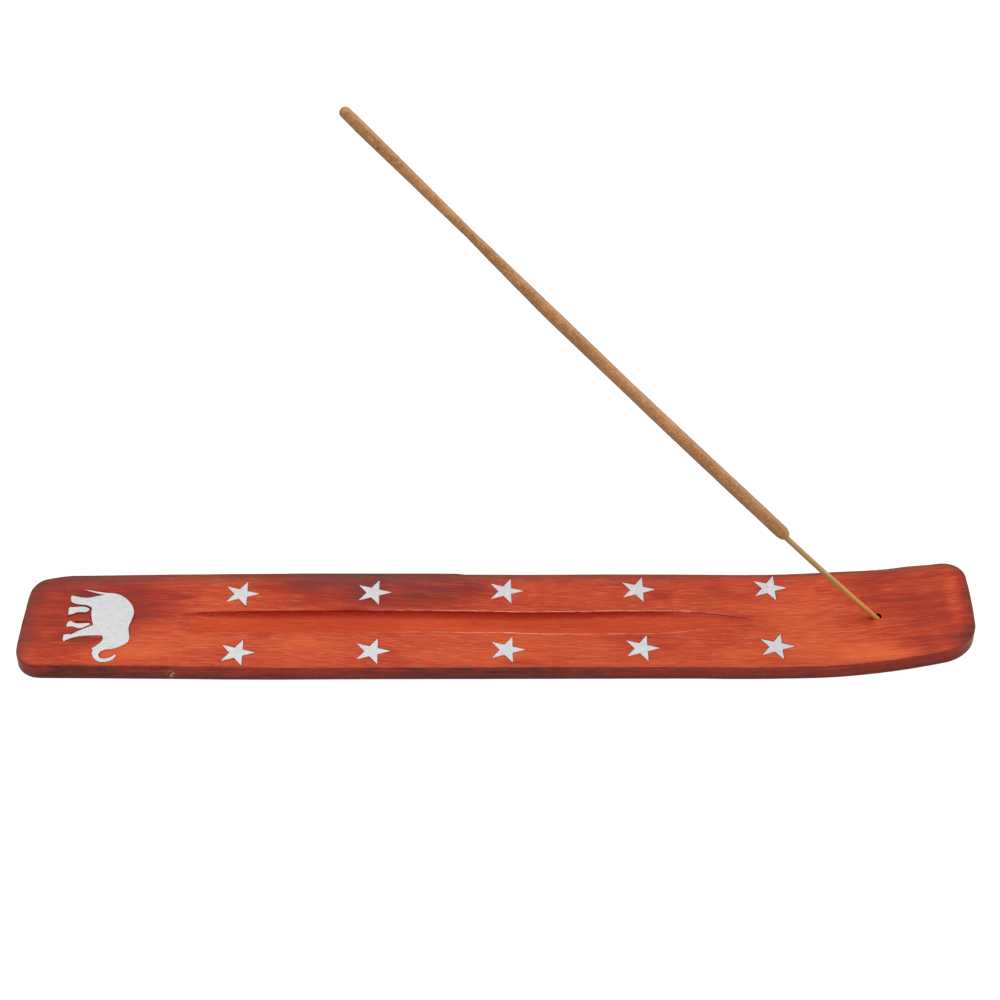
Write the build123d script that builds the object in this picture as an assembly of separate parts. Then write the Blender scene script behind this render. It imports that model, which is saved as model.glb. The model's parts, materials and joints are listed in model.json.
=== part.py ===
from build123d import *
import math
import os

# Incense stick holder: a stained wooden board with a bent-up tip, metal inlays and one incense stick.
# Millimetres, +Z up. The origin is the middle of the board's underside, +X runs to the bent tip
# and +Y to the far side.

# Board
flat_length = 196.5  # square end to the start of the bend
tip_length = 58.5  # bent end, along X
board_width = 36.2
board_thickness = 5.0
bend_radius = 250.0  # underside of the bent end
square_far_round = 9.0  # far plan corner of the flat end
square_near_round = 7.0  # near plan corner of the flat end
square_end_skew = 1.0  # degrees that the flat end is out of square
tip_far_round = 7.2  # far plan corner of the bent end
tip_near_round = 9.2  # near plan corner of the bent end
tip_taper = 2.05  # how far each side draws in towards the tip
tip_taper_length = 42.0
tip_crown = 0.75  # bulge of the tip's end
top_edge_round = 0.3
bottom_edge_round = 0.8

# Ash groove, flat-floored with round inner corners, fading out at both ends and drawn to a point at the tip
groove_width = 8.2
groove_depth = 2.4
groove_corner_round = 2.0
groove_square_margin = 40.0  # square end to the groove's first trace
groove_past_bend = 2.5  # start of the bend to the groove's last trace
groove_square_runout = 28.0  # length over which the floor rises at the square end
groove_tip_runout = 60.0  # the same at the tip
groove_point_length = 21.0  # length over which the lips draw together at the tip
groove_point_bow = 0.7  # how far each lip bows out there
groove_offset = 0.5  # to the near side of the middle

# Inlays, thin sheet set flush into shallow seats
inlay_thickness = 0.8
inlay_gap = 0.15  # all round each inlay
corner_limit_share = 2.0  # most that a sharp corner of a seat stands off, of the gap

# Stars, two rows of five-point stars with one point towards the tip
star_side_margin = 2.4  # star to the board's long edge
star_groove_margin = 2.2  # star to the groove
star_pitch = 35.9
star_past_bend = 5.8  # start of the bend to the middle of the last pair
star_skew = 0.86  # degrees that the whole field is turned
star_point_count = 5
star_waist_share = 0.382  # inner corners, of the outer radius

# Elephant, standing with its feet towards the square end and its head to the near side
elephant_end_margin = 12.1  # square end to the feet
elephant_near_margin = 2.6  # trunk to the near edge
elephant_far_margin = 6.4  # tail to the far edge
elephant_star_margin = 4.0  # least room between its back and the first stars
elephant_height_share = 0.66  # feet to back, of tail to trunk

# Stick hole, blind and slanted back over the groove
hole_from_tip = 25.1
hole_offset = 1.1  # to the near side of the middle
hole_clearance = 0.6  # all round a centred stick
hole_floor = 0.9  # wood left under the hole

# Incense stick: a bamboo rod bowed slightly upwards, with incense rolled round its upper part
stick_tilt = 47.5  # degrees above level at the foot
foot_gap = 0.15  # left between the settled foot and the hole's lower side
core_diameter = 1.6
bare_length = 44.0  # foot to the coat
bow_low_radius = 1050.0  # bare stretch
bow_high_radius = 6000.0  # coated stretch
coat_length = 172.2
coat_wall = 1.0  # where the coat is thickest
coat_shoulder = 2.6  # rounding at the coat's lower end
coat_dome = 1.3  # rounding at its tip
coat_over_core = 2.0  # incense past the rod's upper end
coat_round_steps = 4

# How far cutting shapes run past the faces that they cut
overrun = 2.0

# Outlines of the elephant's pieces, as shares of its length from tail to trunk and of its height
# from feet to back. Each line runs on to the first point of the next; three points or more make a curve.
elephant_body_shares = [
    # tail, back, head and the inside of the trunk
    [(0.0, 0.19), (0.03, 0.38), (0.05, 0.54), (0.065, 0.70), (0.16, 0.89), (0.34, 1.0), (0.54, 0.955),
     (0.66, 0.985), (0.725, 0.975), (0.775, 0.90), (0.82, 0.77), (0.84, 0.63), (0.885, 0.57),
     (0.945, 0.60), (0.95, 0.70)],
    # tip of the trunk
    [(0.90, 0.80)],
    # outside of the trunk
    [(0.91, 0.83), (0.96, 0.79), (0.99, 0.72), (1.0, 0.63), (0.98, 0.55), (0.93, 0.49), (0.88, 0.465)],
    [(0.84, 0.475)],
    # lip and chest
    [(0.82, 0.45), (0.76, 0.54), (0.69, 0.595)],
    # near fore leg
    [(0.64, 0.57), (0.64, 0.38), (0.68, 0.11)],
    [(0.72, 0.02)],
    [(0.70, 0.0)],
    [(0.63, 0.0)],
    [(0.62, 0.08)],
    [(0.63, 0.11), (0.575, 0.22)],
    # belly
    [(0.50, 0.42), (0.41, 0.38), (0.33, 0.36)],
    # near hind leg
    [(0.27, 0.36), (0.23, 0.30), (0.215, 0.20)],
    [(0.17, 0.03)],
    [(0.11, 0.01)],
    [(0.09, 0.03), (0.11, 0.14), (0.12, 0.27), (0.10, 0.39)],
    # underside of the tail
    [(0.08, 0.53), (0.05, 0.37)],
]
elephant_hind_leg_shares = [
    [(0.36, 0.02)],
    [(0.27, 0.01)],
    [(0.25, 0.03), (0.25, 0.12), (0.245, 0.22), (0.26, 0.29), (0.28, 0.32), (0.31, 0.30), (0.32, 0.22)],
    [(0.34, 0.10)],
]
elephant_fore_leg_shares = [
    [(0.52, 0.02)],
    [(0.48, 0.02)],
    [(0.45, 0.04)],
    [(0.44, 0.08), (0.47, 0.14), (0.475, 0.24)],
    [(0.47, 0.35)],
    [(0.485, 0.375)],
    [(0.54, 0.25)],
    [(0.54, 0.20)],
    [(0.515, 0.11)],
]

# Thickness of the coat as shares of coat_wall, at shares of the coat's length from its lower end
coat_wall_shares = [
    (0.13, 0.98), (0.21, 0.92), (0.29, 0.91), (0.39, 0.81), (0.55, 0.86), (0.60, 0.76), (0.67, 0.58),
    (0.74, 0.33), (0.81, 0.46), (0.955, 0.66),
]

# Most that an upright wall's normal leans out of level
upright_share = 0.01

board_length = flat_length + tip_length
left_x = -board_length / 2
right_x = board_length / 2
bend_x = left_x + flat_length
half_width = board_width / 2
top_bend_radius = bend_radius - board_thickness
tip_rise = bend_radius - math.sqrt(bend_radius**2 - tip_length**2)

star_height = half_width - groove_width / 2 - star_side_margin - star_groove_margin
star_radius = star_height / (2 * math.sin(math.radians(360 / star_point_count)))
star_row_y = half_width - star_side_margin - star_height / 2
star_last_x = bend_x + star_past_bend

elephant_length = board_width - elephant_near_margin - elephant_far_margin
elephant_height = elephant_length * elephant_height_share
elephant_feet_x = left_x + elephant_end_margin
elephant_tail_y = half_width - elephant_far_margin

hole_x = right_x - hole_from_tip
hole_diameter = core_diameter + 2 * hole_clearance
hole_climb = math.asin((hole_x - bend_x) / top_bend_radius)
hole_slant = math.radians(stick_tilt) + hole_climb
hole_reach = board_thickness - hole_floor - hole_diameter / 2 * math.cos(hole_slant)
hole_depth = hole_reach / math.sin(hole_slant)
stick_settle = hole_clearance - foot_gap
foot_straight = hole_depth + hole_diameter / 2


def top_plane(x, y):
    """Plane on the board's top at a place in plan: X along the grain, Z square to the surface."""
    climb = math.asin(max(x - bend_x, 0) / top_bend_radius)
    height = bend_radius - top_bend_radius * math.cos(climb)
    along = (math.cos(climb), 0, math.sin(climb))
    square = (-math.sin(climb), 0, math.cos(climb))
    return Plane(origin=(x, y, height), x_dir=along, z_dir=square)


def board_side_view():
    """Side view of the board, a little too long at both ends."""
    sweep = math.degrees(math.asin((tip_length + overrun) / bend_radius))
    under = Line((left_x - overrun, 0), (bend_x, 0))
    under_bend = JernArc(under @ 1, (1, 0), bend_radius, sweep)
    over = Line((left_x - overrun, board_thickness), (bend_x, board_thickness))
    over_bend = JernArc(over @ 1, (1, 0), top_bend_radius, sweep)
    square_end = Line(under @ 0, over @ 0)
    tip_end = Line(under_bend @ 1, over_bend @ 1)
    return make_face([under, under_bend, tip_end, over_bend, over, square_end])


def board_plan():
    """Plan of the board, with round corners, a slightly skewed flat end and a drawn-in, crowned tip."""
    # The rounding of the near corner, not the sharp corner, reaches the board's full length.
    skew = math.radians(square_end_skew)
    near_x = left_x - square_near_round * (math.tan(skew) + 1 / math.cos(skew) - 1)
    far_x = near_x + board_width * math.tan(skew)
    tip_x = right_x - tip_crown
    tip_half = half_width - tip_taper
    taper_x = tip_x - tip_taper_length
    near_side = Line((near_x, -half_width), (taper_x, -half_width))
    near_taper = TangentArc((taper_x, -half_width), (tip_x, -tip_half), tangent=(1, 0))
    tip_end = ThreePointArc((tip_x, -tip_half), (right_x, 0), (tip_x, tip_half))
    far_taper = TangentArc((taper_x, half_width), (tip_x, tip_half), tangent=(1, 0))
    far_side = Line((far_x, half_width), (taper_x, half_width))
    square_end = Line((near_x, -half_width), (far_x, half_width))
    plan = make_face([near_side, near_taper, tip_end, far_taper, far_side, square_end])
    corners = [
        ((near_x, -half_width), square_near_round),
        ((far_x, half_width), square_far_round),
        ((tip_x, -tip_half), tip_near_round),
        ((tip_x, tip_half), tip_far_round),
    ]
    for corner, radius in corners:
        plan = fillet(plan.vertices().sort_by_distance(corner)[:1], radius)
    return plan


def rim_edges(blank, upper):
    """Edges where the board's walls meet its top, or its underside."""
    walls = blank.faces().filter_by(lambda face: abs(face.normal_at().Z) < upright_share)
    rims = ShapeList([edge for wall in walls for edge in wall.edges()]).filter_by(Axis.Z, reverse=True)
    drops = [top_plane(edge.center().X, 0).origin.Z - edge.center().Z for edge in rims]
    return [edge for edge, drop in zip(rims, drops) if (drop < board_thickness / 2) == upper]


def board_blank():
    """The board before its cuts: the side view crossed with the plan, with its rims eased."""
    slab = extrude(Plane.XZ * board_side_view(), amount=half_width + overrun, both=True)
    blank = slab & extrude(board_plan(), amount=tip_rise + board_thickness + overrun)
    blank = fillet(rim_edges(blank, True), top_edge_round)
    return fillet(rim_edges(blank, False), bottom_edge_round)


def groove_cutter():
    """The groove as a straight middle with both ends swung up out of the wood, one of them pointed."""
    floor = board_thickness - groove_depth
    first_x = left_x + groove_square_margin + groove_square_runout
    end_x = bend_x + groove_past_bend
    last_x = end_x - groove_tip_runout
    section = Rectangle(groove_width, groove_depth + overrun, align=(Align.CENTER, Align.MIN))
    section = fillet(section.vertices().sort_by(Axis.Y)[:2], groove_corner_round)

    def section_at(x):
        return Plane(origin=(x, -groove_offset, floor), x_dir=(0, 1, 0), z_dir=(1, 0, 0)) * section

    def swung(x, runout, side):
        radius = (runout**2 + groove_depth**2) / (2 * groove_depth)
        turn = math.degrees(math.asin(runout / radius)) * (runout + overrun) / runout
        axis = Axis((x, 0, floor + radius), (0, -side, 0))
        return revolve(section_at(x), axis=axis, revolution_arc=turn)

    # Plan of the pointed end, wider than the groove behind the place where its lips draw together
    point = (end_x, -groove_offset)
    lip_x = end_x - groove_point_length
    far_lip = SagittaArc(point, (lip_x, groove_width / 2 - groove_offset), -groove_point_bow)
    near_lip = SagittaArc(point, (lip_x, -groove_width / 2 - groove_offset), groove_point_bow)
    far_back = (last_x - overrun, groove_width / 2 + overrun)
    near_back = (last_x - overrun, -groove_width / 2 - overrun)
    behind = Polyline(far_lip @ 1, far_back, near_back, near_lip @ 1)
    nose = extrude(make_face([far_lip, behind, near_lip]), amount=board_thickness + overrun)

    middle = extrude(section_at(first_x), amount=last_x - first_x, dir=(1, 0, 0))
    square_end = swung(first_x, groove_square_runout, -1)
    tip_end = swung(last_x, groove_tip_runout, 1) & nose
    return middle + square_end + tip_end


def inlay(face, seat_face, plane):
    """A sheet inlay flush with a plane, and the seat to cut for it."""
    sheet = extrude(plane * face, amount=-inlay_thickness)
    seat = extrude(plane.offset(-inlay_thickness) * seat_face, amount=inlay_thickness + overrun)
    return sheet, seat


def star_face():
    """Five-point star with one point along +X."""
    corner_count = 2 * star_point_count
    corners = []
    for corner in range(corner_count):
        reach = star_radius * (star_waist_share if corner % 2 else 1)
        turn = math.radians(360 * corner / corner_count)
        corners.append((reach * math.cos(turn), reach * math.sin(turn)))
    return make_face(Polyline(*corners, close=True))


def grown(points, gap):
    """A clockwise outline's points, each moved outwards by a gap."""
    moved = []
    for before, point, after in zip(points[-1:] + points[:-1], points, points[1:] + points[:1]):
        arriving = (point - before).normalized()
        leaving = (after - point).normalized()
        both = arriving + leaving
        outward = Vector(-both.Y, both.X)
        corner_share = min(2 / outward.length, corner_limit_share)
        moved.append(point + outward.normalized() * gap * corner_share)
    return moved


def elephant_face(outline_shares, gap=0):
    """One piece of the elephant in plan, grown by a gap."""
    points = []
    starts = []
    for line in outline_shares:
        starts.append(len(points))
        for length_share, height_share in line:
            x = elephant_feet_x + height_share * elephant_height
            y = elephant_tail_y - length_share * elephant_length
            points.append(Vector(x, y))
    points = grown(points, gap)
    edges = []
    for start, end in zip(starts, starts[1:] + [len(points)]):
        run = points[start:end] + [points[end % len(points)]]
        edges.append(Spline(*run) if len(run) > 2 else Line(*run))
    return make_face(edges)


def make_elephant():
    """The elephant's pieces and their seats, by node name."""
    outlines = {
        "elephant_body_inlay": elephant_body_shares,
        "elephant_hind_leg_inlay": elephant_hind_leg_shares,
        "elephant_fore_leg_inlay": elephant_fore_leg_shares,
    }
    flat_top = Plane(origin=(0, 0, board_thickness))
    made = {}
    for name, shares in outlines.items():
        made[name] = inlay(elephant_face(shares), elephant_face(shares, inlay_gap), flat_top)
    return made


def make_stars():
    """The stars and their seats, by node name, numbered from the elephant to the tip."""
    room = star_last_x - star_radius - elephant_star_margin - elephant_feet_x - elephant_height
    steps = int(room // star_pitch)
    middle_x = star_last_x - steps * star_pitch / 2
    skew = math.radians(star_skew)
    star = Rot(0, 0, star_skew) * star_face()
    seat = offset(star, amount=inlay_gap)
    made = {}
    for row, side in (("far", 1), ("near", -1)):
        for number in range(steps + 1):
            along = (number - steps / 2) * star_pitch
            across = side * star_row_y
            x = middle_x + along * math.cos(skew) - across * math.sin(skew)
            y = along * math.sin(skew) + across * math.cos(skew)
            made[f"star_inlay_{row}_{number + 1}"] = inlay(star, seat, top_plane(x, y))
    return made


def stick_frame():
    """Frame at the stick's foot: X along the stick, Y to the side that it bows to, Z to the far side."""
    tilt = math.radians(stick_tilt)
    along = Vector(-math.cos(tilt), 0, math.sin(tilt))
    upward = Vector(math.sin(tilt), 0, math.cos(tilt))
    mouth = top_plane(hole_x, -hole_offset).origin
    return Plane(origin=mouth - along * hole_depth - upward * stick_settle, x_dir=along, z_dir=(0, 1, 0))


def hole_cutter():
    """The stick hole, along the stick's foot but centred on the hole's own axis."""
    frame = stick_frame()
    floor = Plane(origin=frame.from_local_coords((0, stick_settle)), x_dir=frame.z_dir, z_dir=frame.x_dir)
    return extrude(floor * Circle(hole_diameter / 2), amount=hole_depth + hole_diameter + overrun)


def stick_section(distance):
    """Plane square to the stick's centreline at a distance from its foot."""
    straight = min(distance, foot_straight)
    low = min(max(distance - foot_straight, 0), bare_length - foot_straight) / bow_low_radius
    high = low + max(distance - bare_length, 0) / bow_high_radius
    x = straight + bow_low_radius * math.sin(low) + bow_high_radius * (math.sin(high) - math.sin(low))
    y = bow_low_radius * (1 - math.cos(low)) + bow_high_radius * (math.cos(low) - math.cos(high))
    frame = stick_frame()
    heading = frame.x_dir * math.cos(high) + frame.y_dir * math.sin(high)
    return Plane(origin=frame.from_local_coords((x, y)), x_dir=frame.z_dir, z_dir=heading)


def coat_rings():
    """Places along the coat from its lower end, each with the coat's radius there."""
    core_radius = core_diameter / 2
    rings = []
    for step in range(1, coat_round_steps + 1):
        turn = math.pi / 2 * step / coat_round_steps
        rings.append((coat_shoulder * (1 - math.cos(turn)), core_radius + coat_wall * math.sin(turn)))
    for place_share, wall_share in coat_wall_shares:
        rings.append((place_share * coat_length, core_radius + wall_share * coat_wall))
    tip_radius = rings[-1][1]
    for step in range(coat_round_steps):
        turn = math.pi / 2 * step / coat_round_steps
        rings.append((coat_length - coat_dome * (1 - math.sin(turn)), tip_radius * math.cos(turn)))
    return rings


def make_stick():
    """The bamboo rod, and the incense coat with the rod's shape taken out of it."""
    low_turn = math.degrees((bare_length - foot_straight) / bow_low_radius)
    high_turn = math.degrees((coat_length - coat_over_core) / bow_high_radius)
    foot = Line((0, 0), (foot_straight, 0))
    low_bow = JernArc(foot @ 1, foot % 1, bow_low_radius, low_turn)
    high_bow = JernArc(low_bow @ 1, low_bow % 1, bow_high_radius, high_turn)
    path = stick_frame() * Wire([foot, low_bow, high_bow])
    core = sweep(stick_section(0) * Circle(core_diameter / 2), path=path)
    rings = [stick_section(bare_length + place) * Circle(radius) for place, radius in coat_rings()]
    return core, loft(rings, ruled=True) - core


inlays = make_elephant() | make_stars()
board = board_blank() - groove_cutter() - hole_cutter() - [seat for sheet, seat in inlays.values()]
core, coat = make_stick()

nodes = {"base_board": board, "bamboo_core": core, "incense_coat": coat}
for name, (sheet, seat) in inlays.items():
    nodes[name] = sheet

os.makedirs("parts", exist_ok=True)
for name, shape in nodes.items():
    export_step(shape, f"parts/{name}.step")
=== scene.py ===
import json
import math
from types import SimpleNamespace

import bmesh
import bpy
import numpy as np
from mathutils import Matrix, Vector, kdtree, noise


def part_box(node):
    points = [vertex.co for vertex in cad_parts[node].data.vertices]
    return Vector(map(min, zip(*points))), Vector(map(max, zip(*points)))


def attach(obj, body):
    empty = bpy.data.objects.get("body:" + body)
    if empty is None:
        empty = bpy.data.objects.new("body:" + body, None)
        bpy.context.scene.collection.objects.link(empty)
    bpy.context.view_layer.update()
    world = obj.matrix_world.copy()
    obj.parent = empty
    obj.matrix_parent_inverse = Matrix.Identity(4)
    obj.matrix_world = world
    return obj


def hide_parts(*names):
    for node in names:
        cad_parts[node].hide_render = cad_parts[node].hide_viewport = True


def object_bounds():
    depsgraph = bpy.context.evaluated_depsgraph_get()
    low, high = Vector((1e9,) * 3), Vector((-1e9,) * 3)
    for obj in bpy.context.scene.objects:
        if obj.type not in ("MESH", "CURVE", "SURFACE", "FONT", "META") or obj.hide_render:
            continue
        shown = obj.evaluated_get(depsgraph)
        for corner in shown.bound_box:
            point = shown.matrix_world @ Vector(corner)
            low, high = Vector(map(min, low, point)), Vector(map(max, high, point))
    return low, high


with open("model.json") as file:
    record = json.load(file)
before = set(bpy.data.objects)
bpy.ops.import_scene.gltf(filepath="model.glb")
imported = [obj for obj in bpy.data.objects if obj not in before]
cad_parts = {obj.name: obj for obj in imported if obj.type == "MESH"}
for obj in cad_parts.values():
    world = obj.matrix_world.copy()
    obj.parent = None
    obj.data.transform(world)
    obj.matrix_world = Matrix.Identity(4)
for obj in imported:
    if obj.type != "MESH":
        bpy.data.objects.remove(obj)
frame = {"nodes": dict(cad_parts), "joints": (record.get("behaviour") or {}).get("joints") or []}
cad_low, cad_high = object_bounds()

# Units: metres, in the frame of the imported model. +X runs to the bent tip, +Y to the far side, +Z up.
MM = 0.001
WELD = 0.001 * MM

# The board, as it is bent
BEND_START = 69.0 * MM
BEND_RADIUS = 250.0 * MM
BOARD_THICKNESS = 5.0 * MM
GROOVE_MIDDLE = -0.5 * MM
HOLE_PLACE = (102.4 * MM, -1.1 * MM)

# Size of the board's small faces, along each axis, which leaves room for wear and unevenness
BOARD_STEPS = (1.0 * MM, 0.6 * MM, 0.9 * MM)
COPLANAR_ANGLE = math.radians(0.2)
SHARP_ANGLE = math.radians(38)

# Where the outer walls, the groove's lips and the inlays' seats are searched for
WALL_UPRIGHT = 0.5
WALL_DEPTH = 0.6 * BOARD_THICKNESS
WALL_END_LENGTH = 10 * MM
LIP_REACH = 5.5 * MM
LIP_ANGLE = math.radians(4)
TOP_TOLERANCE = 0.02 * MM
SQUARE_END_LENGTH = 38 * MM
SEAT_DEPTHS = (0.3 * MM, 1.2 * MM)
SEAT_CLEARANCE = 1 * MM
SEAT_TOLERANCE = 0.01 * MM
SEAT_FACING = 0.25

# How far the seats close on the inlays, and the hole on the stick at its near side and towards the tip
SEAT_CLOSING = 0.11 * MM
HOLE_RADIUS = 1.4 * MM
HOLE_HALF_LENGTH = 1.9 * MM
HOLE_SPREAD = 2.0 * MM
HOLE_CLOSING = 0.4 * MM
HOLE_END_CLOSING = 0.45 * MM

# How far from the hole's middle the painted shade in the stick's hole may lie
HOLE_REACH = 6.0 * MM

# The top after sanding: shallow hollows, eased rims and rubbed lips
UPPER_REACH = 1.5 * MM
SANDING_DEPTH = 0.06 * MM
SANDING_SIZE = (22 * MM, 6 * MM, 6 * MM)
EASING_MEAN = 0.7
EASING_SWING = 0.3
EASING_SIZE = 9 * MM
FAR_EASING = 0.04 * MM
SQUARE_EASING = 0.3 * MM
TIP_EASING = 0.35 * MM
FAR_EASING_REACH = 0.7 * MM
NEAR_EASING_REACH = 1.1 * MM
SQUARE_EASING_REACH = 2.4 * MM
TIP_EASING_REACH = 3.2 * MM
NEAR_EASING = [(-127, 0.55), (-68, 0.45), (-58, 0.12), (127, 0.12)]
LIP_WIDTH = 0.9 * MM
LIP_DROP = 0.16 * MM
LIP_DROP_SIZE = 5 * MM

# Lines drawn as places along the board and amounts, both in mm. The square end's runs across it.
# The walls lie inside the straight outline, and the groove's lips wander across the board.
FAR_WALL = [
    (-127, 0.3), (-125, 0.45), (-122.5, 1.27), (-121, 1.55), (-119, 1.38), (-117, 1.08), (-115.5, 0.9),
    (-114, 0.9), (-109, 0.82), (-103, 0.68), (-90, 0.42), (-78, 0.3), (-73, 0.18), (-62, 0.11), (-52, 0.0),
    (-20, 0.0), (-10.5, 0.05), (-8.7, 0.42), (8, 0.5), (29, 0.38), (50, 0.4), (66, 0.57), (95, 0.58),
    (100, 0.74), (104, 0.83), (108, 0.68), (112, 0.32), (118, 0.4), (127, 0.1),
]
NEAR_WALL = [
    (-127, 1.05), (-112, 0.9), (-100, 0.78), (-84, 0.6), (-72, 0.42), (-58, 0.34), (-44, 0.46), (-30, 0.53),
    (0, 0.61), (20, 0.67), (40, 0.73), (55, 0.73), (62, 0.58), (76, 0.62), (90, 0.4), (105, 0.4),
    (115, 0.45), (127, 0.5),
]
SQUARE_WALL = [
    (-17, 0.35), (-13, 0.25), (-9, 0.0), (0, 0.05), (5, 0.25), (8, 0.35), (9.6, 0.48), (11.5, 0.4),
    (17, 0.5),
]
FAR_LIP = [
    (-86, -0.5), (-80, -0.3), (-63, 0.0), (-40, 0.25), (-27, 0.2), (-9, 0.0), (8, -0.55), (26, -0.3),
    (47, 0.0), (71, 0.0),
]
NEAR_LIP = [
    (-86, 0.3), (-13, 0.3), (2, 0.1), (14, -0.45), (40, -0.4), (47, -0.1), (53, 0.8), (60, 0.8), (67, 0.1),
]
WALL_REACH = 2.5 * MM
TOWARD_REACH = 1.6 * MM
LIP_SPREAD = 2.6 * MM
LIP_JITTER = 0.10 * MM
LIP_JITTER_SIZE = (7 * MM, 30 * MM, 30 * MM)
LIP_NICK = 0.07 * MM
LIP_NICK_SIZE = (1.8 * MM, 30 * MM, 30 * MM)
SAW_MARK = 0.04 * MM
SAW_MARK_SIZE = (1.6 * MM, 6 * MM, 1.0 * MM)

# How far the groove's end at the tip is filled up again, of its depth: places in mm and shares
GROOVE_FILL = [(48, 0.0), (57, 0.4), (64, 0.65), (72, 0.5)]
GROOVE_DEPTH = 2.6 * MM

# How strongly the lips are painted pale along the board, part rubbed-through wood and part painted highlight:
# places in mm and amounts
FAR_LIP_WEAR_AND_HIGHLIGHT = [(-38, 0.0), (-30, 0.4), (2, 0.9), (28, 0.8), (58, 0.5), (66, 0.0)]
NEAR_LIP_WEAR_AND_HIGHLIGHT = [(-40, 0.0), (-30, 0.25), (-10, 0.7), (2, 1.0), (14, 1.0), (44, 0.8), (56, 0.4), (64, 0.0)]

# How strongly the groove's walls take their colour along the board, part deeper stain and part painted shade:
# places in mm and amounts
GULLY_LINE = [(-88, 1.0), (8, 1.0), (26, 1.3), (50, 1.7), (60, 1.2), (72, 0.4)]
GULLY_START = 0.2 * MM

# The far bank at the groove's tip end is too flat to count as a wall, but takes a wall's colour, painted
# shade included
TIP_BANK_PAINTED_SHADE = [(46, 0.0), (51, 0.3), (64, 0.3), (71, 0.0)]
TIP_BANK_REACH = 2.4 * MM

# How much painted shade those walls take where the groove is too shallow to be shaded: places in mm and
# shares
SHALLOW_GROOVE_PAINTED_SHADE = [
    (-90, 0.7), (-78, 0.6), (-70, 0.25), (-62, 0.0), (16, 0.0), (30, 0.15), (44, 0.38), (52, 0.5),
    (64, 0.5), (72, 0.3),
]

# Grey-brown rims: how far they reach in from each wall, how strong they are at it, and how fast they fade
FAR_RIM_LINE = [
    (-127, 6.8), (-116, 8.8), (-100, 7.4), (-92, 5.8), (-76, 7.0), (-66, 6.8), (-59, 5.8), (-50, 8.4),
    (-44, 8.8), (-36, 11.0), (-28, 9.4), (-20, 8.6), (-8, 6.8), (4, 6.0), (14, 4.7), (28, 4.4), (40, 5.3),
    (56, 3.4), (92, 3.4), (102, 4.8), (127, 5.2),
]
NEAR_RIM_REACH = 1.0 * MM
SQUARE_RIM_REACH = 5.4 * MM
TIP_RIM_REACH = 1.4 * MM
FAR_RIM = [
    (-127, 0.72), (-120, 0.86), (-116, 1.0), (-110, 0.88), (-100, 0.82), (-92, 0.68), (-58, 0.66),
    (-54, 0.86), (-36, 0.9), (-26, 0.8), (-16, 0.7), (127, 0.66),
]
NEAR_RIM = 0.2
SQUARE_RIM = 0.66
TIP_RIM = 0.5
RIM_FALL = 1.5

# Along the board in mm: how far the front wall's colour reaches over the worn edge, and how soiled it is
NEAR_SOIL = [(-127, 0.5), (-118, 0.8), (-68, 0.75), (-58, 0.05), (127, 0.05)]
WALL_SOIL = [
    (-127, 0.2), (-119, 0.3), (-116, 0.8), (-100, 0.45), (-70, 0.05), (-48, -0.08), (-20, 0.4), (0, 0.6),
    (15, 0.5), (35, 0.15), (70, 0.15), (127, 0.0),
]
SOIL_START = 1.5

# A face takes the outer walls' colour this near to them, from a slight lean on
WALL_EDGE = 0.6 * MM
WALL_LEAN_START = 0.02
WALL_LEAN_SPAN = 0.5

# A pale scuff on the near wall: its place along the board and height, and half its size
SCUFF_PLACE = (-85.6 * MM, 2.4 * MM)
SCUFF_SIZE = (1.5 * MM, 2.6 * MM)

# A darker band along the tip's rim
TIP_BAND = -0.26
TIP_BAND_REACH = 3.8 * MM

# The grain drifts across the middle of the board
GRAIN_DRIFT = 4.2 * MM
DRIFT_MIDDLE = -25 * MM
DRIFT_LENGTH = 35 * MM

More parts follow.
